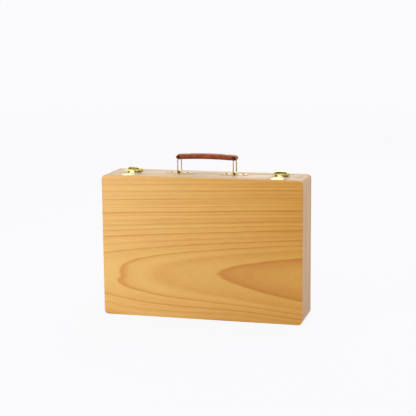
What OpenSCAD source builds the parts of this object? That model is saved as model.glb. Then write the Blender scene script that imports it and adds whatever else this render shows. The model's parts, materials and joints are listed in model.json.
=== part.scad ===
// Pochade box: a shallow wooden painting box that stands on its hinge side, with a
// panel-holding lid in front, a fitted base behind, draw latches and a folding handle on top.
// The origin is at the middle of the underside. X runs along the width, -Y faces the
// viewer of the lid's panel and Z is up. All sizes are in millimetres.

/* [Box] */
// Width along the latch side
box_w = 400; // [360:1:440]
// Height as the box stands on its hinge side
box_h = 280; // [250:1:320]
// Depth of the lid half, its panel included
lid_d = 44; // [42:0.5:54]
// Depth of the base half, its panel included
base_d = 50; // [48:0.5:60]
// Thickness of the frame boards
wall = 10; // [9.5:0.5:12]
// Thickness of the two glued outer panels
panel_t = 5; // [4:0.5:6]
// Radius of the four outer corners
corner_r = 8; // [5:0.5:9]
// Gap between the closed halves
seam = 0.4; // [0.4:0.1:0.6]
// Number of comb fingers at each corner, an odd number
fingers = 7; // [5:2:9]

/* [Hinges] */
// Distance of each hinge's middle from the side of the box
hinge_in = 70; // [60:1:110]
// Length of each hinge
hinge_l = 50; // [40:1:60]
// Outer radius of the knuckles
knuckle_r = 2.2; // [2.1:0.1:2.4]
// Radius of the hinge pins
hinge_pin_r = 1.1; // [0.9:0.05:1.2]
// Thickness of the hinge leaves
leaf_t = 1.2; // [1:0.1:1.4]
// Height of the hinge leaves above the pin
leaf_h = 6.6; // [6.2:0.1:6.9]
// Angle that the lid opens to, in degrees
lid_open = 105; // [90:1:110]

/* [Latches] */
// Distance of each latch's middle from the side of the box
latch_in = 51; // [40:1:70]
// Width of the levers
lever_w = 26.5; // [24:0.5:30]
// Height of the levers' hump above the box
hump_h = 10.2; // [10:0.1:11]
// Length of the levers behind their pivot
lever_l = 18; // [16:0.5:20]
// Thickness of the latches' sheet metal
sheet = 1.2; // [1:0.1:1.4]
// Distance of the levers' pivot behind the seam
pivot_in = 8; // [7.5:0.5:9]
// Distance of the catch plates' rear edge in front of the seam
catch_in = 6; // [4:0.5:7]
// Width of the catch plates
catch_w = 24; // [20:0.5:25]
// Length of the catch plates
catch_l = 32; // [24:0.5:34]
// Width of the hook tongues
tongue_w = 9; // [6:0.5:12]
// Height of the hook tongues above the box
tongue_h = 5.2; // [4.8:0.1:5.4]

/* [Handle] */
// Distance between the two bails
bail_gap = 112; // [96:1:130]
// Distance of the handle's middle line from the back of the box
handle_in = 39.5; // [34:0.5:41]
// Radius of the bails' wire
wire_r = 1.25; // [1:0.05:1.4]
// Width of each bail, from wire centre to wire centre
bail_w = 26; // [24:0.5:30]
// Height of each bail, from wire centre to wire centre
bail_h = 30.4; // [28:0.2:36]
// Radius of the bails' bends
bend_r = 3; // [2.5:0.1:3.4]
// Length of the bracket plates
bracket_l = 53; // [48:0.5:58]
// Width of the bracket plates
bracket_w = 13; // [11:0.5:15]
// Thickness of the bracket plates
bracket_t = 1.3; // [1.1:0.1:1.6]
// Distance between the screws of a bracket
bracket_screws_gap = 33.5; // [30:0.5:36]
// Length of the grip beyond each bail
grip_over = 5; // [4.5:0.1:6]
// Width of the grip at its middle
grip_w = 22; // [20:0.5:24]
// Width of the grip at its ends
grip_end_w = 18.4; // [16:0.2:19]
// Thickness of the grip
grip_t = 10.4; // [9.5:0.1:12]
// Rise of the grip's middle over its ends
grip_rise = 2; // [0:0.1:4]
// Distance of each rivet from the middle of the grip
rivet_x = 39; // [30:1:42]
// Radius of the rivet heads
rivet_r = 4; // [3:0.1:4.5]

/* [Lid stay] */
// Height of the stay's two lower pivots above the hinge pins
stay_h = 110; // [104:1:120]
// Distance of the two lower pivots from the seam
stay_in = 12; // [11:0.5:13]
// Width of the stay's arms
arm_w = 10; // [9:0.5:11]
// Thickness of the stay's arms
arm_t = 1.6; // [1.2:0.1:1.8]
// Radius of the stay's pivots
stud_r = 2; // [1.6:0.1:2.4]
// Radius of the thumb nut
nut_r = 7; // [6:0.5:8]

/* [Inside] */
// Thickness of the dividers
divider_t = 5; // [4:0.5:6]
// Room between the long divider and the stay plate above it
divider_room = 1.1; // [0.5:0.1:15]
// Distance of the tube bay dividers from the middle of the box
bay_x = 65; // [50:1:80]
// Position of the brush bay divider
brush_x = 110; // [60:1:130]
// Thickness of the palette
palette_t = 4; // [3:0.5:5]
// Depth of the palette's face below the base's rim
palette_in = 2.8; // [1.5:0.1:4]
// Gap round the palette's edge
palette_gap = 1; // [0.5:0.1:2]
// Width that the palette leaves free for the lid stay
stay_room = 15; // [13:0.5:20]
// Width of the lid's panel rails
rail_w = 8; // [7:0.5:9]
// Height of the lid's panel rails above the lid's panel
rail_h = 18; // [15:0.5:18]
// Width of the grooves that hold the painting panels
groove_w = 3.6; // [3:0.1:4]
// Depth of those grooves
groove_in = 4; // [2:0.1:5]

/* [Hidden] */
$fn = 64;
run = 0.05;
depth = lid_d + seam + base_d;
front_y = -depth / 2;
back_y = depth / 2;
seam_y = front_y + lid_d + seam / 2;
lid_y = seam_y - seam / 2;
base_y = seam_y + seam / 2;
in_w = box_w - 2 * wall;
in_h = box_h - 2 * wall;

hinge_x = box_w / 2 - hinge_in;
hinge_z = knuckle_r + 0.4;
knuckles = 5;
pitch = hinge_l / knuckles;
knuckle_gap = 0.2;
pocket_r = knuckle_r + 0.35;
leaf_y = 0.1;
relief_top = hinge_z + 0.37;
relief_angle = lid_open / 2 + 1.5;
leaf_screw_z = hinge_z + knuckle_r + 2;
leaf_screws = [-0.36 * hinge_l, 0, 0.36 * hinge_l];
leaf_screw_head = 1.5;
leaf_screw_r = 0.8;
leaf_screw_l = 7;

latch_x = box_w / 2 - latch_in;
plate_screw_head = 2;
plate_screw_r = 1.1;
plate_screw_l = 8;
nose_r = 4.2;
lever_z = hump_h - nose_r;
lever_pin_r = 1.2;
link_pin_r = 1;
link_back = 8.5;
link_drop = lever_z - 3.4;
lever_bend = lever_l - 4;
lever_fall = nose_r + 1.6;
tip_rise = 1.2;
tail_r = 8;
skirt = lever_z - 1;
hump_r = 5;
ear_x = lever_w / 2 - hump_r + 1;
latch_plate_w = lever_w - 2 * sheet - 0.5;
ear_r = nose_r - sheet - 0.3;
latch_plate_front = pivot_in - 6;
latch_plate_back = pivot_in + lever_l + 2;
lip = 3.4;
bar_w = 3.2;
bar_t = 1.4;
arm_gap = 0.5;
link_x = lever_w / 2 + arm_gap;
link_l = pivot_in + link_back + catch_in + lip + 1 + bar_w / 2;
link_tilt = atan2(tongue_h + 0.5 + bar_t / 2 - (lever_z - link_drop), link_l);

wire_z = bracket_t + wire_r + 0.1;
boss_r = wire_r + 1.9;
loop_t = 0.9;
mouth = 3;
bracket_screw_head = 2.4;
bracket_screw_r = 1.3;
bracket_screw_l = 8;
handle_y = back_y - handle_in;
top_run_z = box_h + wire_z + bail_h;
grip_l = bail_gap + 2 * grip_over;
eye_r = 2.3;

stay_plane = box_w / 2 - wall;
stay_plate_t = 1.5;
stay_plate_r = 8;
stay_plate_l = 2 * stay_plate_r + 12;
stay_screw_l = 7;
lower_x = stay_plane - stay_plate_t - 0.3 - arm_t;
upper_x = lower_x - 0.3 - arm_t;
head_t = 1;
divider_z = hinge_z + stay_h - stay_plate_l / 2 - divider_room - divider_t / 2;

palette_y = base_y + palette_in;
divider_y = palette_y + palette_t + 0.2;

wood = [0.86, 0.66, 0.40];
frame_wood = [0.84, 0.72, 0.56];
ply = [0.80, 0.66, 0.47];
brass = [0.75, 0.65, 0.38];
leather = [0.50, 0.20, 0.09];

// Extrusion of a drawing in x and z from y = a to y = b
module along_y(a, b) translate([0, b, 0]) rotate([90, 0, 0]) linear_extrude(b - a) children();

// Extrusion of a drawing in y and z from x = a to x = b
module along_x(a, b) translate([a, 0, 0]) rotate([90, 0, 90]) linear_extrude(b - a) children();

// A rectangle about the origin with round corners
module rounded(w, h, r) {
    square([w - 2 * r, h], center = true);
    square([w, h - 2 * r], center = true);
    for (x = [-1, 1], y = [-1, 1])
        translate([x * (w / 2 - r), y * (h / 2 - r)]) circle(r);
}

// A strip about the origin with half-round ends
module stadium(w, h) {
    square([w - h, h], center = true);
    for (x = [-1, 1])
        translate([x * (w - h) / 2, 0]) circle(h / 2);
}

// A countersunk wood screw with its head up at the origin
module screw(head_r, shank_r, length)
    rotate_extrude()
        polygon([[0, 0], [head_r, 0], [head_r, -0.2], [shank_r, -0.2 - head_r + shank_r],
            [shank_r, -length], [0, -length - shank_r]]);

// The hole that such a screw sits in, open 1 mm over its head
module screw_hole(head_r, shank_r, length)
    rotate_extrude()
        polygon([[0, 1], [head_r + run, 1], [head_r + run, -0.2 - run],
            [shank_r + run, -0.2 - run - head_r + shank_r],
            [shank_r + run, -length - run], [0, -length - shank_r - 3 * run]]);

// The screws of the hinges, latches, handle and stay, each with its hole
module leaf_screw() screw(leaf_screw_head, leaf_screw_r, leaf_screw_l);
module leaf_screw_hole() screw_hole(leaf_screw_head, leaf_screw_r, leaf_screw_l);
module plate_screw() screw(plate_screw_head, plate_screw_r, plate_screw_l);
module plate_screw_hole() screw_hole(plate_screw_head, plate_screw_r, plate_screw_l);
module bracket_screw() screw(bracket_screw_head, bracket_screw_r, bracket_screw_l);
module bracket_screw_hole() screw_hole(bracket_screw_head, bracket_screw_r, bracket_screw_l);
module stay_screw() screw(plate_screw_head, plate_screw_r, stay_screw_l);
module stay_screw_hole() screw_hole(plate_screw_head, plate_screw_r, stay_screw_l);

// The outline of the box as seen from the front
module outline() translate([0, box_h / 2]) rounded(box_w, box_h, corner_r);

// One half's frame between y = a and y = b, before it is parted into boards
module frame(a, b)
    along_y(a, b)
        difference() {
            outline();
            translate([0, box_h / 2]) square([in_w, in_h], center = true);
        }

// Every second finger of the four comb corners, from the given one on
module comb(a, b, first) {
    f = (b - a) / fingers;
    for (i = [first:2:fingers - 1], sx = [-1, 1], sz = [0, 1]) {
        from = i == 0 ? a - 1 : a + i * f;
        to = i == fingers - 1 ? b + 1 : a + (i + 1) * f;
        translate([sx > 0 ? in_w / 2 : -box_w / 2 - 1, from, sz > 0 ? box_h - wall : -1])
            cube([wall + 1, to - from, wall + 1]);
    }
}

// A long board of a frame, at the underside (0) or at the top (1)
module long_board(a, b, top)
    difference() {
        intersection() {
            frame(a, b);
            translate([-box_w / 2, a, top * (box_h - wall)]) cube([box_w, b - a, wall]);
        }
        comb(a, b, 0);
    }

// A short board of a frame, at the left (-1) or at the right (1)
module short_board(a, b, side)
    difference() {
        intersection() {
            frame(a, b);
            translate([side > 0 ? in_w / 2 : -box_w / 2, a, 0]) cube([wall, b - a, box_h]);
        }
        comb(a, b, 1);
    }

// The bevel under the seam that lets the lid swing: half = -1 for the lid, 1 for the base
module seam_relief(half)
    along_x(-box_w / 2 - 1, box_w / 2 + 1)
        polygon([[seam_y - half, relief_top], [seam_y, relief_top],
            [seam_y + half * (relief_top + 1) * tan(relief_angle), -1], [seam_y - half, -1]]);

// The places of the two hinges, with x along the pin and the origin on its axis
module at_hinges()
    for (s = [-1, 1])
        translate([s * hinge_x, seam_y, hinge_z]) children();

// A round rod along x, centred on the origin
module rod(r, length) rotate([0, 90, 0]) cylinder(r = r, h = length, center = true);

// One hinge leaf with its own knuckles; half = -1 for the lid, 1 for the base
module hinge_leaf(half) {
    own = half > 0 ? [0, 2, 4] : [1, 3];
    others = half > 0 ? [1, 3] : [0, 2, 4];
    difference() {
        union() {
            difference() {
                translate([-hinge_l / 2, half > 0 ? leaf_y : -leaf_y - leaf_t, 0])
                    cube([hinge_l, leaf_t, leaf_h]);
                for (i = others)
                    translate([(i + 0.5) * pitch - hinge_l / 2, 0, 0]) rod(knuckle_r + 0.3, pitch);
            }
            for (i = own)
                translate([(i + 0.5) * pitch - hinge_l / 2, 0, 0]) rod(knuckle_r, pitch - knuckle_gap);
        }
        rod(hinge_pin_r + run, hinge_l + 2);
        leaf_screw_places(half) leaf_screw_hole();
    }
}

// The screws of one leaf, pointing into the wood
module leaf_screw_places(half)
    for (x = leaf_screws)
        translate([x, half * leaf_y, leaf_screw_z - hinge_z]) rotate([half * 90, 0, 0]) children();

// What a hinge takes out of a board's seam edge
module hinge_mortise(half)
    at_hinges() {
        rod(pocket_r, hinge_l + 0.6);
        translate([-hinge_l / 2, half > 0 ? -1 : -leaf_y - leaf_t, 0])
            cube([hinge_l, leaf_y + leaf_t + 1, leaf_h]);
        leaf_screw_places(half) leaf_screw_hole();
    }

module lid_panel()
    color(wood)
        difference() {
            along_y(front_y, front_y + panel_t) outline();
            seam_relief(-1);
        }

module base_panel()
    color(wood)
        difference() {
            along_y(back_y - panel_t, back_y) outline();
            seam_relief(1);
        }

module lid_board(top)
    color(frame_wood)
        difference() {
            long_board(front_y + panel_t, lid_y, top);
            if (top > 0) {
                at_latches() catch_screw_places() plate_screw_hole();
            } else {
                seam_relief(-1);
                hinge_mortise(-1);
            }
        }

module base_board(top)
    color(frame_wood)
        difference() {
            long_board(base_y, back_y - panel_t, top);
            if (top > 0) {
                at_latches() latch_screw_places() plate_screw_hole();
                at_brackets() bracket_screw_places() bracket_screw_hole();
            } else {
                seam_relief(1);
                hinge_mortise(1);
            }
        }

module lid_side(side)
    color(frame_wood)
        difference() {
            short_board(front_y + panel_t, lid_y, side);
            seam_relief(-1);
            if (side > 0)
                at_stay(-1) stay_screw_places() stay_screw_hole();
        }

module base_side(side)
    color(frame_wood)
        difference() {
            short_board(base_y, back_y - panel_t, side);
            seam_relief(1);
            if (side > 0)
                at_stay(1) stay_screw_places() stay_screw_hole();
        }

// A grooved strip up the side of the lid that holds wet panels apart
module panel_rail(side)
    color(frame_wood)
        difference() {
            translate([side > 0 ? in_w / 2 - rail_w : -in_w / 2, front_y + panel_t, wall])
                cube([rail_w, rail_h, in_h]);
            for (i = [0, 1])
                translate([side * (in_w / 2 - rail_w) - groove_in, front_y + panel_t
                    + (i + 0.5) * rail_h / 2 - groove_w / 2, wall + rail_w])
                    cube([2 * groove_in, groove_w, in_h]);
        }

// A divider along x
module long_divider()
    color(ply)
        translate([-in_w / 2, divider_y, divider_z - divider_t / 2])
            cube([in_w, back_y - panel_t - divider_y, divider_t]);

module tube_dividers()
    color(ply)
        for (s = [-1, 1])
            translate([s * bay_x - divider_t / 2, divider_y, wall])
                cube([divider_t, back_y - panel_t - divider_y, divider_z - divider_t / 2 - wall]);

module brush_divider()
    color(ply)
        translate([brush_x - divider_t / 2, divider_y, divider_z + divider_t / 2])
            cube([divider_t, back_y - panel_t - divider_y, box_h - wall - divider_z - divider_t / 2]);

// The mixing palette, with a thumb hole and a notch to lift it by
module palette() {
    w = in_w - 2 * palette_gap - stay_room;
    h = in_h - 2 * palette_gap;
    color(ply)
        along_y(palette_y, palette_y + palette_t)
            translate([-stay_room / 2, box_h / 2])
                difference() {
                    rounded(w, h, 10);
                    translate([-w / 2 + 48, -h / 2 + 52]) rotate(35) stadium(40, 26);
                    translate([0, h / 2]) circle(12);
                }
}

module hinge_leaves(half) color(brass) at_hinges() hinge_leaf(half);

module hinge_pins() color(brass) at_hinges() rod(hinge_pin_r, hinge_l - knuckle_gap);

module hinge_screws(half) color(brass) at_hinges() leaf_screw_places(half) leaf_screw();

// The places of the two latches, with the origin on the seam at the box's top
module at_latches()
    for (s = [-1, 1])
        at_latch(s) children();

module at_latch(s) translate([s * latch_x, seam_y, box_h]) children();

module catch_screw_places()
    for (s = [-1, 1])
        translate([s * catch_w / 4, -catch_in - catch_l + 9, sheet]) children();

module latch_screw_places()
    for (s = [-1, 1])
        translate([s * latch_plate_w / 4, latch_plate_back - 5.5, sheet]) children();

// A catch plate: a flat plate whose tongue is turned up and curled forward
module catch_plates()
    color(brass)
        at_latches()
            difference() {
                union() {
                    translate([0, -catch_in - catch_l / 2, 0])
                        linear_extrude(sheet) rounded(catch_w, catch_l, 2.5);
                    along_x(-tongue_w / 2, tongue_w / 2) tongue();
                }
                catch_screw_places() plate_screw_hole();
            }

module catch_screws()
    color(brass)
        at_latches() catch_screw_places() plate_screw();

// The tongue in side view, with its lip rounded at the front
module tongue() {
    lip_t = 1.1;
    translate([-catch_in - sheet, 0]) square([sheet, tongue_h]);
    translate([-catch_in - lip + lip_t / 2, tongue_h - lip_t]) square([lip - lip_t / 2, lip_t]);
    translate([-catch_in - lip + lip_t / 2, tongue_h - lip_t / 2]) circle(lip_t / 2);
}

// A latch's base plate, with two ears that carry the lever's pin
module latch_plates()
    color(brass)
        at_latches()
            difference() {
                union() {
                    translate([0, (latch_plate_front + latch_plate_back) / 2, 0])
                        linear_extrude(sheet)
                            rounded(latch_plate_w, latch_plate_back - latch_plate_front, 2);
                    for (s = [0, 1])
                        mirror([s, 0, 0])
                            along_x(ear_x - sheet, ear_x) {
                                translate([pivot_in, lever_z]) circle(ear_r);
                                translate([pivot_in - 0.5, 0]) square([ear_r + 2, lever_z]);
                            }
                }
                translate([0, pivot_in, lever_z]) rod(lever_pin_r + run, lever_w);
                latch_screw_places() plate_screw_hole();
            }

module latch_screws()
    color(brass)
        at_latches() latch_screw_places() plate_screw();

module latch_pins()
    color(brass) at_latches() translate([0, pivot_in, lever_z]) rod(lever_pin_r, lever_w);

// Height of a lever's back over its pivot, at the distance v behind the pivot
function lever_top(v) =
    v < lever_bend
    ? nose_r - lever_fall * (1 - cos(180 * v / lever_bend)) / 2
    : nose_r - lever_fall + tip_rise * (1 - cos(90 * (v - lever_bend) / (lever_l - lever_bend)));

// The line of a lever's back, lowered by t
function lever_line(t) = [for (i = [0:16]) [lever_l * i / 16, lever_top(lever_l * i / 16) - t]];

// An upright block with round upper corners, seen from the front
module arch(w, top, r) {
    translate([-w / 2, -20]) square([w, 20 + top - r]);
    translate([-w / 2 + r, -20]) square([w - 2 * r, 20 + top]);
    for (s = [-1, 1])
        translate([s * (w / 2 - r), top - r]) circle(r);
}

// A lever: a humped channel pressed from sheet, with a turned-up finger tip
module lever(side)
    color(brass)
        at_latch(side)
            translate([0, pivot_in, lever_z])
                difference() {
                    intersection() {
                        along_x(-lever_w / 2, lever_w / 2)
                            polygon(concat(lever_line(0), [
                                [lever_l, lever_top(lever_l) - sheet],
                                [link_back + 4, -skirt], [3, -skirt]],
                                [for (a = [270:-15:105]) [nose_r * cos(a), nose_r * sin(a)]]));
                        along_y(-10, lever_l + 5) arch(lever_w, nose_r, hump_r);
                        translate([0, 0, -20])
                            linear_extrude(40)
                                translate([0, lever_l / 2 - 10]) rounded(lever_w, lever_l + 20, tail_r);
                    }
                    intersection() {
                        along_x(-lever_w / 2, lever_w / 2)
                            polygon(concat([[-nose_r - 1, nose_r - sheet]], lever_line(sheet),
                                [[lever_l + 1, lever_top(lever_l) - sheet], [lever_l + 1, -20],
                                [-nose_r - 1, -20]]));
                        along_y(-10, lever_l + 5) arch(lever_w - 2 * sheet, nose_r - sheet, hump_r - sheet);
                    }
                    rod(lever_pin_r + run, lever_w + 2);
                    translate([0, link_back, -link_drop]) rod(link_pin_r + run, lever_w + 2);
                }

// The place of a link's pin, with the link's length along -y
module at_link(side)
    at_latch(side)
        translate([0, pivot_in + link_back, lever_z - link_drop]) children();

module link_pin(side) color(brass) at_link(side) rod(link_pin_r, 2 * (link_x + bar_t) + 0.8);

// A link: two arms beside the lever and the bar that draws on the tongue
module link(side)
    color(brass)
        at_link(side)
            rotate([-link_tilt, 0, 0])
                difference() {
                    union() {
                        for (s = [0, 1])
                            mirror([s, 0, 0])
                                along_x(link_x, link_x + bar_t) {
                                    circle(2.2);
                                    translate([-link_l, -1.4]) square([link_l, 2.8]);
                                    translate([-link_l, 0]) circle(1.4);
                                }
                        translate([0, -link_l, -bar_t / 2])
                            linear_extrude(bar_t) rounded(2 * (link_x + bar_t), bar_w, 0.4 * bar_w);
                    }
                    rod(link_pin_r + run, lever_w + 4 * link_x);
                }

// The places of the handle's two brackets, on the box's top
module at_brackets()
    for (s = [-1, 1])
        translate([s * bail_gap / 2, handle_y, box_h]) children();

module bracket_screw_places()
    for (s = [-1, 1])
        translate([s * bracket_screws_gap / 2, 0, bracket_t]) children();

// A handle bracket: a strap with round ends and a bored boss for the bail's wire
module handle_brackets()
    color(brass)
        at_brackets()
            difference() {
                union() {
                    linear_extrude(bracket_t) stadium(bracket_l, bracket_w);
                    along_y(-bracket_w / 2, bracket_w / 2) {
                        translate([0, wire_z]) circle(boss_r);
                        translate([-boss_r, 0]) square([2 * boss_r, wire_z]);
                        translate([-boss_r - 2, 0]) square([2 * boss_r + 4, bracket_t + 0.8]);
                    }
                }
                translate([0, 0, wire_z]) rotate([90, 0, 0])
                    cylinder(r = wire_r + run, h = bracket_w + 2, center = true);
                along_y(-bracket_w, -bracket_w / 2 + mouth) translate([0, wire_z]) circle(boss_r - loop_t);
                along_y(bracket_w / 2 - mouth, bracket_w) translate([0, wire_z]) circle(boss_r - loop_t);
                translate([-2 * boss_r, -bracket_w, -2 * boss_r]) cube([4 * boss_r, 2 * bracket_w, 2 * boss_r]);
                bracket_screw_places() bracket_screw_hole();
            }

module bracket_screws() color(brass) at_brackets() bracket_screw_places() bracket_screw();

// A bail: a closed rectangle of wire across the depth, with its lower run at the origin
module bail(side)
    color(brass)
        translate([side * bail_gap / 2, handle_y, box_h + wire_z]) {
            for (z = [0, bail_h])
                translate([0, 0, z]) rotate([90, 0, 0])
                    cylinder(r = wire_r, h = bail_w - 2 * bend_r, center = true);
            for (s = [0, 1])
                mirror([0, s, 0]) {
                    translate([0, bail_w / 2, bend_r]) cylinder(r = wire_r, h = bail_h - 2 * bend_r);
                    translate([0, bail_w / 2 - bend_r, bail_h - bend_r]) bend();
                    translate([0, bail_w / 2 - bend_r, bend_r]) mirror([0, 0, 1]) bend();
                }
        }

// A quarter bend of the wire, from the +y side to the +z side
module bend()
    rotate([90, 0, 90])
        rotate_extrude(angle = 90)
            translate([bend_r, 0]) circle(wire_r);

// Half width, half thickness and middle height of the grip at the distance x from its middle
function grip_half_w(x) = grip_end_w / 2 + (grip_w - grip_end_w) / 2 * (1 - pow(2 * x / grip_l, 4));
function grip_round(x) = sqrt(max(0, 1 - pow(max(0, abs(x) - grip_l / 2 + grip_t / 2) / (grip_t / 2), 2)));
function grip_half_t(x) = grip_t / 2 * grip_round(x);
function grip_mid(x) = grip_rise * (1 - pow(2 * x / bail_gap, 2));

// Stations along the grip, closer together at its rounded ends
grip_steps = 20;
function grip_x(i) = grip_l / 2 * 0.9985 * sin(90 * sin(90 * (2 * i / grip_steps - 1)));

// One ring of the grip: a flattened oval with fuller sides than an ellipse
grip_sides = 24;
function grip_ring(x) = [for (j = [0:grip_sides - 1])
    let (a = 360 * j / grip_sides, c = cos(a), s = sin(a))
    [x, grip_half_w(x) * sign(c) * pow(abs(c), 0.6),
        grip_mid(x) + grip_half_t(x) * sign(s) * pow(abs(s), 0.7)]];

// The grip: padded leather, arched, with an eye for each bail's upper run
module grip() {
    n = grip_sides;
    points = [for (i = [0:grip_steps]) each grip_ring(grip_x(i))];
    side_faces = [for (i = [0:grip_steps - 1], j = [0:n - 1])
        each [[i * n + j, i * n + (j + 1) % n, (i + 1) * n + j],
            [i * n + (j + 1) % n, (i + 1) * n + (j + 1) % n, (i + 1) * n + j]]];
    caps = [[for (j = [0:n - 1]) n - 1 - j], [for (j = [0:n - 1]) grip_steps * n + j]];
    color(leather)
        translate([0, handle_y, top_run_z])
            difference() {
                polyhedron(points, concat(side_faces, caps));
                translate([-bail_gap / 2, 0, 0]) rotate([90, 0, 0])
                    cylinder(r = wire_r + run, h = bail_w, center = true);
                translate([bail_gap / 2, 0, 0]) rotate([90, 0, 0])
                    cylinder(r = wire_r + 0.25, h = bail_w, center = true);
                for (s = [-1, 1]) {
                    translate([s * bail_gap / 2, 0, 0]) {
                        along_y(-grip_w, -grip_end_w / 2 + mouth) circle(eye_r);
                        along_y(grip_end_w / 2 - mouth, grip_w) circle(eye_r);
                    }
                    translate([s * rivet_x, 0, 0]) {
                        cylinder(r = 1.5 + run, h = 3 * grip_t, center = true);
                        translate([0, 0, rivet_top]) cylinder(r = rivet_r + run, h = grip_t);
                        translate([0, 0, rivet_bottom - grip_t]) cylinder(r = rivet_r - 0.6 + run, h = grip_t);
                    }
                }
            }
}

// Heights of the two seats cut into the leather for a rivet
rivet_top = grip_mid(rivet_x) + grip_t / 2 - 0.9;
rivet_bottom = grip_mid(rivet_x) - grip_t / 2 + 0.9;

// The rivets that close the grip's loops, with a domed head above and a flat one below
module grip_rivets()
    color(brass)
        for (s = [-1, 1])
            translate([s * rivet_x, handle_y, top_run_z])
                rotate_extrude()
                    polygon([[0, rivet_top + 2.2], [rivet_r * 0.5, rivet_top + 2], [rivet_r * 0.85, rivet_top + 1.4],
                        [rivet_r, rivet_top + 0.6], [rivet_r, rivet_top], [1.5, rivet_top],
                        [1.5, rivet_bottom], [rivet_r - 0.6, rivet_bottom], [rivet_r - 0.6, rivet_bottom - 0.9],
                        [0, rivet_bottom - 0.9]]);

// A lower pivot of the stay, on the right wall; half = -1 for the lid, 1 for the base
module at_stay(half) translate([stay_plane, seam_y + half * stay_in, hinge_z + stay_h]) children();

module stay_screw_places()
    for (s = [-1, 1])
        translate([-stay_plate_t, 0, s * (stay_plate_r + 2.5)]) rotate([0, -90, 0]) children();

// A stay plate with the stud that an arm turns on; reach is how far the arm's plane lies off
module stay_plate(half, arm_x)
    color(brass)
        at_stay(half)
            difference() {
                union() {
                    along_x(-stay_plate_t, 0) rotate(90) stadium(stay_plate_l, arm_w);
                    if (half < 0)
                        along_x(arm_x + arm_t + 0.2 - stay_plane, -stay_plate_t + 0.2) circle(stud_r + 1.4);
                    along_x(arm_x - 0.3 - stay_plane, -stay_plate_t + 0.2) circle(stud_r);
                    along_x(arm_x - 0.3 - head_t - stay_plane, arm_x - 0.3 - stay_plane) circle(stud_r + 1.8);
                }
                stay_screw_places() stay_screw_hole();
            }

module stay_screws(half) color(brass) at_stay(half) stay_screw_places() stay_screw();

// Length of each arm between its pivots, and its lean from the vertical when the lid is shut
arm_l = sqrt(stay_in * stay_in + stay_h * stay_h);
arm_lean = atan2(stay_in, stay_h);

// An arm of the stay from a lower pivot to the elbow; half as for the plates
module stay_arm(half, arm_x, elbow_hole)
    color(brass)
        translate([0, seam_y + half * stay_in, hinge_z + stay_h])
            rotate([half * arm_lean, 0, 0])
                along_x(arm_x, arm_x + arm_t)
                    difference() {
                        translate([0, arm_l / 2]) rotate(90) stadium(arm_l + arm_w, arm_w);
                        circle(stud_r + run);
                        translate([0, arm_l]) circle(elbow_hole);
                    }

// The elbow, with x across the arms
module at_elbow() translate([0, seam_y, hinge_z + 2 * stay_h]) children();

module stay_bolt()
    color(brass)
        at_elbow() {
            along_x(upper_x - 5.5, lower_x + arm_t) circle(stud_r);
            along_x(lower_x + arm_t, lower_x + arm_t + head_t) circle(stud_r + 1.8);
        }

// A round thumb nut with scalloped edges
module thumb_nut()
    color(brass)
        at_elbow()
            along_x(upper_x - 5.2, upper_x - 0.2)
                difference() {
                    circle(nut_r);
                    circle(stud_r + run);
                    for (i = [0:11])
                        rotate(i * 30) translate([nut_r + 0.7, 0]) circle(1.4);
                }

lid_panel();
lid_board(1);  // lid_board_top
lid_board(0);  // lid_board_bottom
lid_side(-1);  // lid_board_left
lid_side(1);  // lid_board_right
base_panel();
base_board(1);  // base_board_top
base_board(0);  // base_board_bottom
base_side(-1);  // base_board_left
base_side(1);  // base_board_right
panel_rail(-1);  // panel_rail_left
panel_rail(1);  // panel_rail_right
long_divider();
tube_dividers();
brush_divider();
palette();
hinge_leaves(-1);  // hinge_leaves_lid
hinge_leaves(1);  // hinge_leaves_base
hinge_pins();
hinge_screws(-1);  // hinge_screws_lid
hinge_screws(1);  // hinge_screws_base
catch_plates();
catch_screws();
latch_plates();
latch_screws();
latch_pins();
lever(-1);  // lever_left
lever(1);  // lever_right
link_pin(-1);  // link_pin_left
link_pin(1);  // link_pin_right
link(-1);  // link_left
link(1);  // link_right
handle_brackets();
bracket_screws();
bail(-1);  // bail_left
bail(1);  // bail_right
grip();
grip_rivets();
stay_plate(1, lower_x);  // stay_plate_base
stay_plate(-1, upper_x);  // stay_plate_lid
stay_screws(1);  // stay_screws_base
stay_screws(-1);  // stay_screws_lid
stay_arm(1, lower_x, stud_r + run);  // stay_arm_lower
stay_arm(-1, upper_x, stud_r + 0.3);  // stay_arm_upper
stay_bolt();
thumb_nut();
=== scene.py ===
"""Pochade box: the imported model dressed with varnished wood, brass and leather."""
import json
import math

import bmesh
import bpy
import numpy as np
from mathutils import Matrix, Vector

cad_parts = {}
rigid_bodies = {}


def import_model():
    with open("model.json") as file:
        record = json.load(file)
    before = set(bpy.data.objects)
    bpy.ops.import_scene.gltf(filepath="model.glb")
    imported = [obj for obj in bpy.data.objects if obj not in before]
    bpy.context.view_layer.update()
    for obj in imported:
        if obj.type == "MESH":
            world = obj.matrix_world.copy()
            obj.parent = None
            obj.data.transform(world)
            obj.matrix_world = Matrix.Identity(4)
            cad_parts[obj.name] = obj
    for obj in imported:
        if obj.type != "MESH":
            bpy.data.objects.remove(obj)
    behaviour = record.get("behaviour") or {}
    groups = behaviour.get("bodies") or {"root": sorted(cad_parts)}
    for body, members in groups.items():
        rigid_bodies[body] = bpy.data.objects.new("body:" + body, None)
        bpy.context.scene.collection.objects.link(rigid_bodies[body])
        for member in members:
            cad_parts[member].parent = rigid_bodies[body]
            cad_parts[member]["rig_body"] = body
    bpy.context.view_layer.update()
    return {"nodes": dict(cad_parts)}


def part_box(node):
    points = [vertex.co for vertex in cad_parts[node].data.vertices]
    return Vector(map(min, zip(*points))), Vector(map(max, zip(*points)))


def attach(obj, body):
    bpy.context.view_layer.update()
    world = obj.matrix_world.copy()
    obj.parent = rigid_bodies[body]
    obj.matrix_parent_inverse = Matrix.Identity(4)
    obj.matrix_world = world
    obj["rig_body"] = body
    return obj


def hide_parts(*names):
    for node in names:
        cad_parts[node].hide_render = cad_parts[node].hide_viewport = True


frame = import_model()
mm = 0.001

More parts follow.
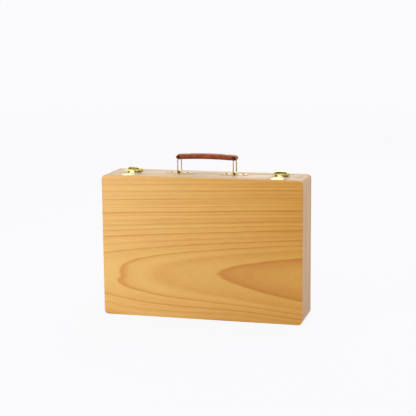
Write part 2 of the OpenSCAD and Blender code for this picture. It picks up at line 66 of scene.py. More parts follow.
# Places in millimetres, as in the part's source. Heights are over the floor, and y grows towards the back.
front_y, lid_y, base_y, back_y = -47.2, -3.2, -2.8, 47.2
plate_top, bracket_top, latch_x, hinge_x, bail_x = 281.2, 281.3, 149, 130, 56
handle_y, wire_z, top_run_z = 7.7, 282.65, 313.05


# The camera stands to the right of the box and above it, as for a catalogue picture.
camera = bpy.data.objects.new("camera", bpy.data.cameras.new("camera"))
bpy.context.scene.collection.objects.link(camera)
camera.data.lens = 103.56
camera.data.sensor_width = 36
right, up, back = (0.96629, 0.25729, -0.00886), (-0.03655, 0.17116, 0.98456), (0.25483, -0.95105, 0.17480)
camera.matrix_world = Matrix.Translation((0.60208, -2.23514, 0.62436)) @ Matrix((right, up, back)).transposed().to_4x4()
bpy.context.scene.camera = camera


def linear(hex_colour):
    """An sRGB hex colour as linear red, green, blue and alpha."""
    srgb = np.array([int(hex_colour[i:i + 2], 16) for i in (1, 3, 5)]) / 255
    rgb = np.where(srgb <= 0.04045, srgb / 12.92, ((srgb + 0.055) / 1.055) ** 2.4)
    return (*rgb.tolist(), 1.0)


def node(tree, kind, inputs=None, **settings):
    """Adds one shader node, sets its properties, and fills or links its sockets."""
    made = tree.nodes.new("ShaderNode" + kind)
    for name, value in settings.items():
        setattr(made, name, value)
    for key, value in (inputs or {}).items():
        if isinstance(value, bpy.types.Node):
            value = value.outputs[0]
        if isinstance(value, bpy.types.NodeSocket):
            tree.links.new(value, made.inputs[key])
        else:
            made.inputs[key].default_value = value
    return made


def new_material(name):
    """An empty material and its node tree."""
    material = bpy.data.materials.new(name)
    material.use_nodes = True
    material.node_tree.nodes.clear()
    return material, material.node_tree


def finish_surface(tree, surface):
    """Joins a shader to the material's output."""
    node(tree, "OutputMaterial", {"Surface": surface})


def dress(name, material):
    """Gives a CAD node its material in place of the plain one."""
    frame["nodes"][name].data.materials.clear()
    frame["nodes"][name].data.materials.append(material)


def bell(t, value, width):
    """exp(-(value / width)^2): one in the middle, and near zero past twice the width."""
    part = node(t, "Math", {0: value, 1: width}, operation="DIVIDE")
    square = node(t, "Math", {0: part, 1: part}, operation="MULTIPLY")
    return node(t, "Math", {0: node(t, "Math", {0: square, 1: -1}, operation="MULTIPLY")}, operation="EXPONENT")


def flat_sawn_board(name, end, heart):
    """Varnished alder, flat-sawn: cathedral rings that darken slowly to a sharp line of late wood, and fine fibres.

    With X the distance from the board's end and Q the height over the heart's line, both in millimetres, a ring is
    a nested parabola, on which U = Q * Q - 12 * X keeps its value. Near the end the heart's line dips, the rings
    below it lie further apart, and a bump on U blunts their noses. The ring number U / sqrt(|U| + 900) then grows
    by about one for each millimetre across the rings.
    """
    material, t = new_material(name)
    place = node(t, "TexCoord").outputs["Object"]
    axes = node(t, "SeparateXYZ", {0: place})
    sway = node(t, "TexNoise", {"Vector": node(t, "Mapping", {"Vector": place, "Scale": (6, 0, 17)}), "Scale": 1,
                                "Detail": 2, "Roughness": 0.4})
    ragged = node(t, "TexNoise", {"Vector": node(t, "Mapping", {"Vector": place, "Scale": (9, 0, 190)}), "Scale": 1,
                                  "Detail": 2})
    x = node(t, "Math", {0: axes.outputs["X"], 1: 1000 * end, 2: 200}, operation="MULTIPLY_ADD")
    q = node(t, "Math", {0: axes.outputs["Z"], 1: 1000, 2: -1000 * heart - 1.5}, operation="MULTIPLY_ADD")
    q = node(t, "Math", {0: sway, 1: 3, 2: q}, operation="MULTIPLY_ADD")
    dip = node(t, "MapRange", {0: x, 1: 37, 2: 277, 3: 6, 4: -7.5})
    q = node(t, "Math", {0: dip, 1: bell(t, q, 28), 2: q}, operation="MULTIPLY_ADD")
    below = node(t, "MapRange", {0: q, 1: -18, 2: 18, 3: 1, 4: 0}, interpolation_type="SMOOTHERSTEP")
    wide = node(t, "MapRange", {0: x, 1: 50, 2: 300, 3: -0.2, 4: 0.02}, interpolation_type="SMOOTHSTEP")
    wide = node(t, "Math", {0: wide, 1: below, 2: 1}, operation="MULTIPLY_ADD")
    nose = bell(t, q, 19)
    q = node(t, "Math", {0: q, 1: wide}, operation="MULTIPLY")
    u = node(t, "Math", {0: q, 1: q}, operation="MULTIPLY")
    u = node(t, "Math", {0: x, 1: -12, 2: u}, operation="MULTIPLY_ADD")
    ragged = node(t, "Math", {0: ragged, 1: 0.235}, operation="SUBTRACT")
    u = node(t, "Math", {0: ragged, 1: 170, 2: u}, operation="MULTIPLY_ADD")
    blunt = node(t, "MapRange", {0: x, 1: 36, 2: 125, 3: 450, 4: -95}, interpolation_type="SMOOTHSTEP")
    u = node(t, "Math", {0: blunt, 1: nose, 2: u}, operation="MULTIPLY_ADD")
    spread = node(t, "Math", {0: node(t, "Math", {0: u}, operation="ABSOLUTE"), 1: 900}, operation="ADD")
    ring = node(t, "Math", {0: u, 1: node(t, "Math", {0: spread}, operation="SQRT")}, operation="DIVIDE")

    # The years that stand out: where the late wood ends, over how far it darkens and clears again, and how deep it is.
    years = node(t, "FloatCurve", {1: node(t, "MapRange", {0: ring, 1: -75, 2: 190})})
    curve = years.mapping.curves[0]
    curve.points[0].location, curve.points[1].location = (0, 0.1), (1, 0.2)
    points = [(-63, 0.12), (-56, 0.4)]
    for line, fade, clear, depth in (
            (-47.2, 4, 0.9, 0.95), (-30, 11, 11, 0.4), (1.5, 8, 1.9, 0.92), (29.5, 3.4, 2.2, 0.78), (45.5, 3, 3, 0.42),
            (62.8, 2.6, 2, 1.05), (75, 2.4, 2.2, 0.6), (87, 2.4, 2.2, 0.64), (96, 2.2, 2.2, 0.48),
            (112.7, 2.4, 2.2, 0.9), (123, 2.2, 2, 0.3), (129.5, 2.2, 2, 0.42), (139.6, 2.2, 2, 0.7),
            (147.2, 2, 2, 0.48), (156.5, 2.2, 2, 0.55), (171, 3, 3, 0.45), (179.5, 2.5, 2.5, 0.5)):
        points += [(line - fade, 0.3 * depth if line > -40 else 0.6), (line, depth), (line + clear, 0.06)]
    for at, shade in points:
        curve.points.new((at + 75) / 265, shade)
    for point in curve.points:
        point.handle_type = "VECTOR"
    years.mapping.update()
    # The years between: thin soft lines, a few millimetres apart, that the loops round the heart hardly have.
    along = node(t, "CombineXYZ", {0: node(t, "Math", {0: x, 1: 0.004}, operation="MULTIPLY"), 1: ring})
    thin = node(t, "TexNoise", {"Vector": along, "Scale": 0.5, "Detail": 3, "Roughness": 0.7})
    thin = node(t, "MapRange", {0: thin, 1: 0.4, 2: 0.7, 3: -0.1, 4: 0.5})
    thin = node(t, "Math", {0: thin, 1: node(t, "MapRange", {0: ring, 1: 2, 2: 34, 3: 0.2, 4: 1})},
                operation="MULTIPLY")
    # Fibres and short dark pores, drawn about 0.5 mm thick so that they show.
    fibre = node(t, "TexNoise", {"Vector": node(t, "Mapping", {"Vector": place, "Scale": (45, 45, 850)}),
                                 "Scale": 1, "Detail": 3, "Roughness": 0.6})
    cloud = node(t, "TexNoise", {"Vector": node(t, "Mapping", {"Vector": place, "Scale": (14, 9, 40)}), "Scale": 1,
                                 "Detail": 3})
    shade = node(t, "Math", {0: years, 1: thin}, operation="ADD")
    shade = node(t, "Math", {0: fibre, 1: 0.56, 2: shade}, operation="MULTIPLY_ADD")
    shade = node(t, "Math", {0: cloud, 1: 0.34, 2: shade}, operation="MULTIPLY_ADD")
    shade = node(t, "Math", {0: shade, 1: 0.41}, operation="SUBTRACT", use_clamp=True)
    # The board is paler by its end and deeper, more orange, towards the heart wood and upwards: partly the wood's own
    # tone, partly painted shade for the light falling off across the board.
    toward = node(t, "Math", {0: axes.outputs["Z"], 1: 350, 2: x}, operation="MULTIPLY_ADD")
    toward = node(t, "MapRange", {0: toward, 1: 50, 2: 450})
    light = node(t, "Mix", {"Factor": toward, 6: linear("#E4B767"), 7: linear("#D09B39")}, data_type="RGBA")
    dark = node(t, "Mix", {"Factor": toward, 6: linear("#CB8A33"), 7: linear("#B66B13")}, data_type="RGBA")
    colour = node(t, "Mix", {"Factor": shade, 6: light.outputs[2], 7: dark.outputs[2]}, data_type="RGBA")
    rough = node(t, "MapRange", {0: fibre, 3: 0.42, 4: 0.54})
    bump = node(t, "Bump", {"Strength": 0.12, "Distance": 0.0002, "Height": fibre})
    finish_surface(t, node(t, "BsdfPrincipled", {
        "Base Color": colour.outputs[2], "Roughness": rough, "IOR": 1.5, "Normal": bump,
        "Coat Weight": 0.08, "Coat Roughness": 0.3}))
    return material


def frame_stock(name, axis, pith, light, dark):
    """Varnished beech frame stock, straight along one axis: pale tan, with soft rings and short dark flecks.

    Rings are cylinders about a pith line that lies parallel to the stock, some way outside it, 4 mm apart.
    """
    material, t = new_material(name)
    place = node(t, "TexCoord").outputs["Object"]
    long_way, flat, dashes = [1, 1, 1], [1, 1, 1], [700, 700, 700]
    run = "xyz".index(axis)
    long_way[run], flat[run], dashes[run] = 0.05, 0, 230
    stretched = node(t, "Mapping", {"Vector": place, "Scale": long_way})
    sway = node(t, "TexNoise", {"Vector": stretched, "Scale": 35, "Detail": 2})
    out = node(t, "VectorMath", {0: place, 1: pith}, operation="SUBTRACT")
    out = node(t, "VectorMath", {0: out, 1: flat}, operation="MULTIPLY")
    far = node(t, "VectorMath", {0: out}, operation="LENGTH").outputs["Value"]
    far = node(t, "Math", {0: sway, 1: 0.006, 2: far}, operation="MULTIPLY_ADD")
    saw = node(t, "Math", {0: node(t, "Math", {0: far, 1: 250}, operation="MULTIPLY")}, operation="FRACT")
    saw = node(t, "Math", {0: saw, 1: 2.5}, operation="POWER")
    fibre = node(t, "TexNoise", {"Vector": stretched, "Scale": 900, "Detail": 3, "Roughness": 0.6})
    streak = node(t, "TexNoise", {"Vector": stretched, "Scale": 130, "Detail": 2})
    # Beech flecks: short dark dashes, 2 to 3 mm long.
    fleck = node(t, "TexVoronoi", {"Vector": node(t, "Mapping", {"Vector": place, "Scale": dashes}), "Scale": 1,
                                   "Randomness": 1})
    fleck = node(t, "MapRange", {0: fleck.outputs["Distance"], 1: 0.1, 2: 0.3, 3: 0.14, 4: 0})
    shade = node(t, "Math", {0: fibre, 1: 0.4, 2: fleck}, operation="MULTIPLY_ADD")
    shade = node(t, "Math", {0: saw, 1: 0.22, 2: shade}, operation="MULTIPLY_ADD")
    shade = node(t, "Math", {0: streak, 1: 0.5, 2: shade}, operation="MULTIPLY_ADD")
    shade = node(t, "Math", {0: shade, 1: 0.2}, operation="SUBTRACT", use_clamp=True)
    colour = node(t, "Mix", {"Factor": shade, 6: linear(light), 7: linear(dark)}, data_type="RGBA")
    bump = node(t, "Bump", {"Strength": 0.12, "Distance": 0.0002, "Height": fibre})
    finish_surface(t, node(t, "BsdfPrincipled", {
        "Base Color": colour.outputs[2], "Roughness": 0.46, "IOR": 1.5, "Specular IOR Level": 0.4, "Normal": bump}))
    return material


front_board = flat_sawn_board("varnished alder, flat-sawn front", 1, 0.0885)
back_board = flat_sawn_board("varnished alder, flat-sawn back", -1, 0.175)
# One beech in two tones: the stock along the box is painted paler, a painted sheen for the top, and the upright stock
# deeper, painted shade for the sides.
along_stock_painted_sheen = frame_stock("varnished beech, along the box, painted sheen", "x", (0, -0.03, 0.40), "#DCC39E", "#C3A27D")
upright_stock_painted_shade = frame_stock("varnished beech, upright, painted shade", "z", (0.32, 0.06, 0), "#D3AA7C", "#B88D60")


def birch_ply(name, axis, *nodes):
    """Birch plywood: pale faces, and edges on which five plies turn light and dark, across the boards' thickness."""
    material, t = new_material(name)
    place = node(t, "TexCoord").outputs["Object"]
    across = "xyz".index(axis)
    long_way = [260, 260, 260]
    long_way[0 if across != 0 else 2] = 9
    streak = node(t, "TexNoise", {"Vector": node(t, "Mapping", {"Vector": place, "Scale": long_way}), "Scale": 1,
                                  "Detail": 3})
    patch = node(t, "TexNoise", {"Vector": place, "Scale": 22, "Detail": 2})
    low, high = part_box(nodes[0])
    depth = node(t, "MapRange", {0: node(t, "SeparateXYZ", {0: place}).outputs[across],
                                 1: low[across], 2: high[across]})
    plies = node(t, "ValToRGB", {0: depth})
    ramp = plies.color_ramp
    ramp.interpolation = "CONSTANT"
    ramp.elements[0].color, ramp.elements[1].position = (0, 0, 0, 1), 0.98
    ramp.elements[1].color = (0, 0, 0, 1)
    for at, shade in ((0.2, 0.75), (0.4, 0.1), (0.6, 0.75), (0.8, 0)):
        ramp.elements.new(at).color = (shade, shade, shade, 1)
    shade = node(t, "Math", {0: patch, 1: 0.3, 2: plies.outputs["Color"]}, operation="MULTIPLY_ADD")
    shade = node(t, "Math", {0: streak, 1: 0.5, 2: shade}, operation="MULTIPLY_ADD", use_clamp=True)
    colour = node(t, "Mix", {"Factor": shade, 6: linear("#E8CFA6"), 7: linear("#B98F5C")}, data_type="RGBA")
    bump = node(t, "Bump", {"Strength": 0.1, "Distance": 0.0002, "Height": streak})
    finish_surface(t, node(t, "BsdfPrincipled", {
        "Base Color": colour.outputs[2], "Roughness": 0.48, "IOR": 1.5, "Normal": bump}))
    for name in nodes:
        dress(name, material)


birch_ply("birch plywood, palette", "y", "palette")
birch_ply("birch plywood, long divider", "z", "long_divider")
birch_ply("birch plywood, brush bay", "x", "brush_divider")
birch_ply("birch plywood, tube bays", "x", "tube_dividers")


def brass_plate(name, fresh, dull, roughness, bore=None, painted_shade_above=None):
    """Brass-plated steel: pale yellow and mirror-like, with faint polishing marks and patches that have dulled."""
    material, t = new_material(name)
    place = node(t, "TexCoord").outputs["Object"]
    cloud = node(t, "TexNoise", {"Vector": place, "Scale": 170, "Detail": 3})
    marks = node(t, "TexNoise", {"Vector": node(t, "Mapping", {"Vector": place, "Scale": (300, 2600, 2600)}),
                                 "Scale": 1, "Detail": 2})
    # Painted shade carried by the mesh: the screws' cross recesses are painted dark.
    painted_shade = node(t, "Attribute", attribute_name="painted_shade").outputs["Fac"]
    if bore:
        # Painted shade inside the loops: the brass is painted near black within a radius of the line on which the wires
        # turn.
        axes = node(t, "SeparateXYZ", {0: place})
        side = node(t, "Math", {0: node(t, "Math", {0: axes.outputs["X"]}, operation="ABSOLUTE"), 1: bail_x * mm},
                    operation="SUBTRACT")
        rise = node(t, "Math", {0: axes.outputs["Z"], 1: wire_z * mm}, operation="SUBTRACT")
        far = node(t, "VectorMath", {0: node(t, "CombineXYZ", {0: side, 1: rise})}, operation="LENGTH")
        painted_shade = node(t, "MapRange", {0: far.outputs["Value"], 1: bore, 2: bore + 0.0003, 3: 1, 4: 0})
    if painted_shade_above:
        # Painted shade: from this height up the wire is painted darker, where it turns into the leather's loops.
        rise = node(t, "SeparateXYZ", {0: place}).outputs["Z"]
        painted_shade = node(t, "MapRange", {0: rise, 1: painted_shade_above, 2: painted_shade_above + 0.0015, 3: 0, 4: 0.9})
    patch = node(t, "MapRange", {0: cloud, 1: 0.38, 2: 0.68})
    rough = node(t, "MapRange", {0: cloud, 1: 0.3, 2: 0.7, 3: roughness, 4: roughness + 0.14})
    tint = node(t, "Mix", {"Factor": patch, 6: linear(fresh), 7: linear(dull)}, data_type="RGBA")
    # Painted shade: towards one, the brass is painted near black.
    tint = node(t, "Mix", {"Factor": painted_shade, 6: tint.outputs[2], 7: linear("#2E2410")}, data_type="RGBA")
    bump = node(t, "Bump", {"Strength": 0.1, "Distance": 0.0001, "Height": marks})
    finish_surface(t, node(t, "BsdfPrincipled", {
        "Base Color": tint.outputs[2], "Metallic": 1, "Roughness": rough, "Normal": bump}))
    return material


brass = brass_plate("brass-plated steel, bright", "#E2D48C", "#B4A45A", 0.2)
# A near-white copy of the brass for the catch plates: a satin finish, and a paleness that is partly a painted highlight
# from the lamps overhead.
satin_brass_painted_highlight = brass_plate("brass-plated steel, satin, painted highlight", "#F6F0CC", "#E2D69C", 0.28)
plain_brass = brass_plate("brass-plated steel, worn pale", "#CDB88A", "#B79C68", 0.34, 0.0022)
wire_brass = brass_plate("brass-plated steel wire", "#C2B064", "#8C7B3C", 0.2, painted_shade_above=0.3095)
# A darker copy of the brass for the latch plates: painted shade where they lie under the levers.
shaded_brass = brass_plate("brass-plated steel, painted shade under the levers", "#BCA968", "#84703A", 0.3)
# A darker copy of the brass for the screw heads: painted shade.
shaded_screw_brass = brass_plate("brass screws, painted shade", "#A0823A", "#654E1C", 0.3)


def grip_leather():
    """Vegetable-tanned leather, dyed chestnut and waxed: fine pebble and creases, and painted shade round the eyes, in
    the seam and along the underside.
    """
    material, t = new_material("vegetable-tanned leather, chestnut")
    place = node(t, "TexCoord").outputs["Object"]
    # Grain pebbles are about 0.7 mm across.
    pebble = node(t, "TexVoronoi", {"Vector": place, "Scale": 1400, "Randomness": 1}, feature="DISTANCE_TO_EDGE")
    pebble = node(t, "MapRange", {0: pebble.outputs["Distance"], 1: 0.0, 2: 0.25})
    crease = node(t, "TexNoise", {"Vector": node(t, "Mapping", {"Vector": place, "Scale": (420, 90, 160)}),
                                  "Scale": 1, "Detail": 4})
    cloud = node(t, "TexNoise", {"Vector": place, "Scale": 75, "Detail": 3})
    height = node(t, "Math", {0: crease, 1: 1.6, 2: pebble}, operation="MULTIPLY_ADD")
    tone = node(t, "Math", {0: cloud, 1: 0.8, 2: node(t, "Math", {0: crease, 1: 0.5}, operation="MULTIPLY")},
                operation="MULTIPLY_ADD")
    tone = node(t, "MapRange", {0: tone, 1: 0.45, 2: 0.85})
    # Painted shade from the mesh: near black round the wire eyes and in the seam groove, darker along the underside.
    painted_shade = node(t, "Attribute", attribute_name="painted_shade").outputs["Fac"]
    colour = node(t, "Mix", {"Factor": tone, 6: linear("#651E04"), 7: linear("#A3470B")}, data_type="RGBA")
    colour = node(t, "Mix", {"Factor": painted_shade, 6: colour.outputs[2], 7: linear("#150805")}, data_type="RGBA")
    rough = node(t, "MapRange", {0: cloud, 1: 0.3, 2: 0.7, 3: 0.34, 4: 0.46})
    bump = node(t, "Bump", {"Strength": 0.3, "Distance": 0.0003, "Height": height})
    finish_surface(t, node(t, "BsdfPrincipled", {
        "Base Color": colour.outputs[2], "Roughness": rough, "IOR": 1.48, "Specular IOR Level": 0.27,
        "Normal": bump}))
    return material


leather = grip_leather()


def waxed_thread():
    """Waxed linen thread, tan: two plies that show as slanting bands 0.6 mm apart."""
    material, t = new_material("waxed linen thread, tan")
    place = node(t, "TexCoord").outputs["Object"]
    plies = node(t, "TexWave", {"Vector": node(t, "Mapping", {"Vector": place, "Rotation": (0, 0, 0.6)}),
                                "Scale": 260, "Distortion": 1})
    colour = node(t, "Mix", {"Factor": plies, 6: linear("#8A5A34"), 7: linear("#B98A5C")}, data_type="RGBA")
    finish_surface(t, node(t, "BsdfPrincipled", {"Base Color": colour.outputs[2], "Roughness": 0.6, "IOR": 1.5}))
    return material


thread = waxed_thread()


def mesh_piece(name, vertices, faces, material, slot, body, stands_for=(), painted_shade=None):
    """Makes a smooth, closed mesh piece from arrays in millimetres, which rides on a body and may stand for nodes."""
    mesh = bpy.data.meshes.new(name)
    mesh.from_pydata((vertices.reshape(-1, 3) * mm).tolist(), [], faces.tolist())
    if painted_shade is not None:
        mesh.attributes.new("painted_shade", "FLOAT", "POINT").data.foreach_set("value", painted_shade.astype(np.float32).ravel())
    work = bmesh.new()
    work.from_mesh(mesh)
    bmesh.ops.remove_doubles(work, verts=work.verts, dist=1e-6)
    bmesh.ops.recalc_face_normals(work, faces=work.faces)
    work.to_mesh(mesh)
    work.free()
    mesh.polygons.foreach_set("use_smooth", np.ones(len(mesh.polygons), bool))
    mesh.materials.append(material)
    piece = bpy.data.objects.new(name, mesh)
    bpy.context.scene.collection.objects.link(piece)
    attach(piece, body)
    if stands_for:
        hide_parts(*stands_for)


def grid_faces(rows, columns, wrap_rows=False):
    """Quads that join a grid of rows x columns points, closed round each row, and over the rows where asked."""
    r = np.arange(rows if wrap_rows else rows - 1)[:, None]
    c = np.arange(columns)[None, :]
    r2, c2 = (r + 1) % rows, (c + 1) % columns
    return np.stack([r * columns + c, r * columns + c2, r2 * columns + c2, r2 * columns + c], -1).reshape(-1, 4)


def eased(source, material, width=0.3, segments=2, where=None):
    """A copy of a CAD node with its sharp edges rounded over, or only those where() picks from their end points."""
    original = frame["nodes"][source]
    work = bmesh.new()
    work.from_mesh(original.data)
    bmesh.ops.remove_doubles(work, verts=work.verts, dist=2e-6)
    bmesh.ops.dissolve_limit(work, angle_limit=math.radians(0.6), verts=work.verts, edges=work.edges)
    mesh = bpy.data.meshes.new(source + "_eased")
    work.to_mesh(mesh)
    work.free()
    mesh.materials.clear()
    mesh.materials.append(material)
    piece = bpy.data.objects.new(source + "_eased", mesh)
    bpy.context.scene.collection.objects.link(piece)
    mesh.polygons.foreach_set("use_smooth", np.ones(len(mesh.polygons), bool))
    bevel = piece.modifiers.new("eased edges", "BEVEL")
    bevel.width = width * mm
    bevel.segments = segments
    bevel.harden_normals = True
    if where is None:
        bevel.limit_method = "ANGLE"
        bevel.angle_limit = math.radians(32)
    else:
        bevel.limit_method = "WEIGHT"
        ends = np.zeros(2 * len(mesh.edges), np.int32)
        mesh.edges.foreach_get("vertices", ends)
        points = np.zeros(3 * len(mesh.vertices))
        mesh.vertices.foreach_get("co", points)
        a, b = points.reshape(-1, 3)[ends.reshape(-1, 2)].transpose(1, 0, 2) / mm
        weight = mesh.attributes.new("bevel_weight_edge", "FLOAT", "EDGE")
        weight.data.foreach_set("value", (where(a) & where(b)).astype(np.float32))
    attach(piece, original["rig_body"])
    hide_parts(source)


eased("lid_panel", front_board, 1.2, 4, lambda p: np.abs(p[:, 1] - front_y) < 0.01)
eased("base_panel", back_board, 1.2, 4, lambda p: np.abs(p[:, 1] - back_y) < 0.01)


def on_outline(p):
    """Points on the box's outer outline, seen from the front: a rectangle with 8 mm corners."""
    x, z = np.abs(p[:, 0]) - 192, np.abs(p[:, 2] - 140) - 132
    return np.abs(np.hypot(np.maximum(x, 0), np.maximum(z, 0)) - 8) < 0.02


for half, rim_y in (("lid", lid_y), ("base", base_y)):
    for side in ("top", "bottom", "left", "right"):
        stock = along_stock_painted_sheen if side in ("top", "bottom") else upright_stock_painted_shade
        eased(f"{half}_board_{side}", stock, 0.5, 2,
              lambda p, y=rim_y: (np.abs(p[:, 1] - y) < 0.01) & on_outline(p))

for name in ("panel_rail_left", "panel_rail_right"):
    dress(name, upright_stock_painted_shade)

for name in ("lever_left", "lever_right", "link_left", "link_right"):
    eased(name, brass, 0.25, 2)
eased("latch_plates", shaded_brass, 0.25, 2)
eased("handle_brackets", plain_brass, 0.25, 2)
eased("catch_plates", satin_brass_painted_highlight, 0.25, 2)
for name in ("latch_pins", "link_pin_left", "link_pin_right", "hinge_leaves_lid", "hinge_leaves_base", "hinge_pins",
             "grip_rivets", "stay_plate_base", "stay_plate_lid", "stay_arm_lower", "stay_arm_upper", "stay_bolt",
             "thumb_nut"):
    dress(name, brass)


def cross_screws(node_name, radius, heads, out, dome=0.05):
    """Countersunk screws with a cross recess, one at each head, that point against the direction out.

    A head is a disc in rings, domed by a share of its radius, dome * (1 - r^2). It sinks by 40% where the place lies
    in one of two arms, each 0.3 wide and 1.3 long for a radius of one, with soft sides. Under the rim it closes in a
    cone and a shank.
    """
    r = np.concatenate([np.linspace(0, 0.97, 17), [0.97, 0.5, 0.45, 0]])
    drop = np.concatenate([0.05 - dome * (1 - np.linspace(0, 1, 17) ** 2), [0.12, 0.62, 2.4, 2.5]])
    a = np.arange(64) * 2 * math.pi / 64
    u, v = r[:, None] * np.cos(a), r[:, None] * np.sin(a)
    arm = [1 / (1 + np.exp(24 * (np.abs(p) - 0.15))) / (1 + np.exp(18 * (np.abs(o) - 0.62)))
           for p, o in ((u, v), (v, u))]
    sink = np.maximum(*arm) * (np.arange(len(r)) < 17)[:, None]
    up = Vector(out)
    side = up.orthogonal().normalized()
    points, sinks = [], []
    for i, head in enumerate(heads):
        east = np.array(Matrix.Rotation(1.1 * i + 0.4, 3, up) @ side)
        north = np.cross(np.array(up), east)
        points.append(np.array(head) + radius * (u[..., None] * east + v[..., None] * north
                                                  - (drop[:, None] + 0.4 * sink)[..., None] * np.array(up)))
        # The recess's depth also paints shade into it, through the painted shade attribute.
        sinks.append(sink)
    faces = grid_faces(len(r), 64)
    faces = (faces[None] + np.arange(len(heads))[:, None, None] * len(r) * 64).reshape(-1, 4)
    body = frame["nodes"][node_name]["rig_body"]
    mesh_piece(node_name + "_crossed", np.array(points), faces, shaded_screw_brass, "brass", body, (node_name,),
               np.array(sinks))


cross_screws("catch_screws", 2, [(s * latch_x + d, -32, plate_top) for s in (-1, 1) for d in (-6, 6)], (0, 0, 1))
cross_screws("latch_screws", 2, [(s * latch_x + d, 19.5, plate_top) for s in (-1, 1) for d in (-5.9, 5.9)], (0, 0, 1))
cross_screws("bracket_screws", 2.4, [(s * bail_x + d, handle_y, bracket_top) for s in (-1, 1) for d in (-16.75, 16.75)],
             (0, 0, 1), dome=0.75)
for half, y, out in (("lid", -3.1, (0, 1, 0)), ("base", -2.9, (0, -1, 0))):
    cross_screws("hinge_screws_" + half, 1.5, [(s * hinge_x + d, y, 6.8) for s in (-1, 1) for d in (-18, 0, 18)], out)
for half, y in (("base", 9), ("lid", -15)):
    cross_screws("stay_screws_" + half, 2, [(188.5, y, z) for z in (102.1, 123.1)], (-1, 0, 0))


def bail_wire(side):
    """A bail: wire bent to a rectangle with round corners, 26 mm across the depth and 30.4 mm high.

    The path is four quarter circles of 3 mm joined by straights. Rings of points are carried along it square to it.
    """
    bend = np.linspace(0, math.pi / 2, 9)
    path = np.concatenate([
        np.stack([y + 3 * np.cos(bend + k * math.pi / 2), z + 3 * np.sin(bend + k * math.pi / 2)], -1)
        for y, z, k in ((10, 27.4, 0), (-10, 27.4, 1), (-10, 3, 2), (10, 3, 3))])
    path = np.column_stack([np.full(len(path), float(side * bail_x)), path[:, 0] + handle_y, path[:, 1] + wire_z])
    along = np.roll(path, -1, 0) - np.roll(path, 1, 0)
    along /= np.linalg.norm(along, axis=1)[:, None]
    across = np.array([1.0, 0, 0])
    a = np.arange(20) * 2 * math.pi / 20
    ring = np.cos(a)[None, :, None] * across + np.sin(a)[None, :, None] * np.cross(along, across)[:, None]
    return path[:, None] + 1.25 * ring, grid_faces(len(path), 20, wrap_rows=True)


for side, name in ((-1, "bail_left"), (1, "bail_right")):
    mesh_piece(name + "_wire", *bail_wire(side), wire_brass, "brass", name, (name,))


def half_width(x):
    """Half the grip's width: 11 mm in the middle, less 1.8 mm with the fourth power of x towards the ends."""
    return 9.2 + 1.8 * (1 - (x / 61) ** 4)


def middle_line(x):
    """The grip's middle line rises 2 mm over the bails, less with the square of x."""
    return 2 * (1 - (x / bail_x) ** 2)


def half_thickness(x):
    """Half the grip's thickness: 5.2 mm, and round at the ends."""
    return 5.2 * np.sqrt(1 - np.clip((np.abs(x) - 55.8) / 5.2, 0, 1) ** 2)


def grip_body():
    """Leather wrapped round a stiff core: ovals with fuller sides than an ellipse, carried along an arch.

    Three things are pressed into it: an eye for the wire at each end, a seat 0.5 mm deep for each rivet, and on the
    underside the seam where the leather's edges meet, a groove 0.7 mm deep.
    """
    s = np.linspace(-1, 1, 201)
    x = 61 * np.sin(math.pi / 2 * s)[:, None]
    a = np.arange(120) * 2 * math.pi / 120
    c, n = np.cos(a), np.sin(a)
    y = half_width(x) * np.sign(c) * np.abs(c) ** 0.6
    flat_z = half_thickness(x) * np.sign(n) * np.abs(n) ** 0.7
    z = middle_line(x) + flat_z
    x = np.broadcast_to(x, y.shape)
    eye = 1 / (1 + np.exp(4 * (np.hypot(np.abs(x) - bail_x, z) - 2.2))) * (np.abs(y) > 6)
    y = y - np.sign(y) * 2.6 * eye
    ends = np.clip((58 - np.abs(x)) / 6, 0, 1)
    seam = np.exp(-(y / 0.5) ** 2) * (flat_z < 0) * ends
    z = z + 0.7 * seam
    seat = 1 / (1 + np.exp(6 * (np.hypot(np.abs(x) - 39, y) - 4.5)))
    z = z - 0.5 * seat * np.sign(flat_z) * (np.abs(flat_z) > 3)
    # Pulled round the loop's edge, the leather dips a little beside the wire.
    z = z - 0.35 * np.sign(flat_z) * np.exp(-((np.abs(x) - 50) / 1.6) ** 2)
    points = np.stack([x, y + handle_y, z + top_run_z], -1)
    # Painted shade for the leather: near black in the eyes and the seam groove, and darker along the underside.
    under = 0.3 / (1 + np.exp(1.6 * (flat_z + 2.6)))
    return points, grid_faces(201, 120), np.clip(eye + 0.7 * seam + under, 0, 1)


points, faces, painted_shade = grip_body()
mesh_piece("grip_leather", points, faces, leather, "leather", "grip", ("grip",), painted_shade)


def seam_stitches():
    """Two rows of stitches under the grip, 2.2 mm on either side of the seam: drops 2 mm long, half set into the
    leather.
    """
    x = np.arange(-32, 33, 3.2)
    place = np.stack([np.tile(x, 2), np.repeat([-2.2, 2.2], len(x))], -1)
    w, c = half_width(place[:, 0]), middle_line(place[:, 0])
    slope = (1 - (np.abs(place[:, 1]) / w) ** (1 / 0.3)) ** 0.35
    low = c - half_thickness(place[:, 0]) * slope
    theta = np.linspace(0, math.pi, 9)[:, None]
    phi = np.arange(8) * 2 * math.pi / 8
    drop = np.stack([1.05 * np.cos(theta) + 0 * phi, 0.34 * np.sin(theta) * np.cos(phi),
                     0.34 * np.sin(theta) * np.sin(phi)], -1)
    centre = np.column_stack([place[:, 0], place[:, 1] + handle_y, low + top_run_z])
    points = centre[:, None, None] + drop
    faces = (grid_faces(9, 8)[None] + np.arange(len(centre))[:, None, None] * 72).reshape(-1, 4)
    return points, faces


mesh_piece("grip_stitches", *seam_stitches(), thread, "leather", "grip")


# The plain pale floor and the soft studio light.
def rays_that_see(t):
    """The light path node, and one for a ray that shows a surface: to the camera, in a reflection or through glass."""
    ray = node(t, "LightPath")
    seen = node(t, "Math", {0: ray.outputs["Is Camera Ray"], 1: ray.outputs["Is Glossy Ray"]}, operation="MAXIMUM")
    return ray, node(t, "Math", {0: seen, 1: ray.outputs["Is Transmission Ray"]}, operation="MAXIMUM")


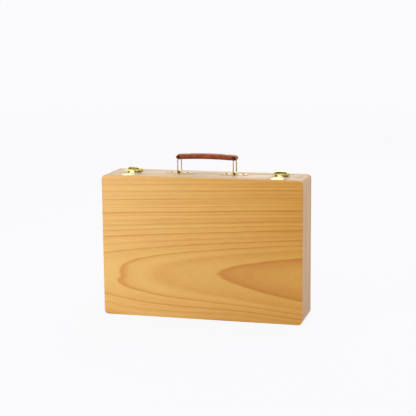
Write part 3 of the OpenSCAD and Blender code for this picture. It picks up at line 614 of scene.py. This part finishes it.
def studio():
    """A white floor under the box, four soft lamps and a white surround.

    The floor takes a faint shadow near the box, and for the rest the camera sees the white surround through it. So
    the lid still shows when it hangs open below the level of the hinges, as it does over the edge of a table.
    """
    material, t = new_material("white studio floor")
    ray, seen = rays_that_see(t)
    far = node(t, "VectorMath", {0: node(t, "TexCoord").outputs["Object"]}, operation="LENGTH").outputs["Value"]
    clear = node(t, "MapRange", {0: far, 1: 1, 2: 5, 3: 0.94, 4: 1})
    share = node(t, "Math", {0: seen, 1: clear}, operation="MULTIPLY")
    share = node(t, "Math", {0: share, 1: ray.outputs["Is Shadow Ray"]}, operation="MAXIMUM")
    matt = node(t, "BsdfDiffuse", {"Color": linear("#F4F4F6")})
    finish_surface(t, node(t, "MixShader", {0: share, 1: matt, 2: node(t, "BsdfTransparent")}))
    floor_mesh = bpy.data.meshes.new("floor")
    floor_mesh.from_pydata([(-30, -30, 0), (30, -30, 0), (30, 30, 0), (-30, 30, 0)], [], [(0, 1, 2, 3)])
    floor_mesh.materials.append(material)
    floor = bpy.data.objects.new("floor", floor_mesh)
    bpy.context.scene.collection.objects.link(floor)

    world = bpy.data.worlds.new("surround")
    bpy.context.scene.world = world
    world.use_nodes = True
    t = world.node_tree
    t.nodes.clear()
    _, seen = rays_that_see(t)
    strength = node(t, "MapRange", {0: seen, 3: 0.6, 4: 0.985})
    surround = node(t, "Background", {"Color": linear("#FCFCFE"), "Strength": strength})
    node(t, "OutputWorld", {"Surface": surround})

    for name, place, aim, size, power in (
            ("key lamp", (-1.1, -1.35, 0.55), (0, 0, 0.1), 1.1, 13),
            ("fill lamp", (1.8, -1.2, 1.2), (0, 0, 0.12), 1.4, 4),
            ("top lamp", (0, 0.3, 2.0), (0, 0, 0.1), 1.6, 11),
            ("back lamp", (0.2, 2.0, 1.5), (0, 0, 0.2), 1.7, 16)):
        lamp = bpy.data.lights.new(name, "AREA")
        lamp.size = size
        lamp.energy = power
        light = bpy.data.objects.new(name, lamp)
        bpy.context.scene.collection.objects.link(light)
        light.location = place
        light.visible_camera = False
        light.rotation_mode = "QUATERNION"
        light.rotation_quaternion = (Vector(aim) - Vector(place)).to_track_quat("-Z", "Y")


studio()
bpy.context.scene.view_settings.view_transform = "Standard"
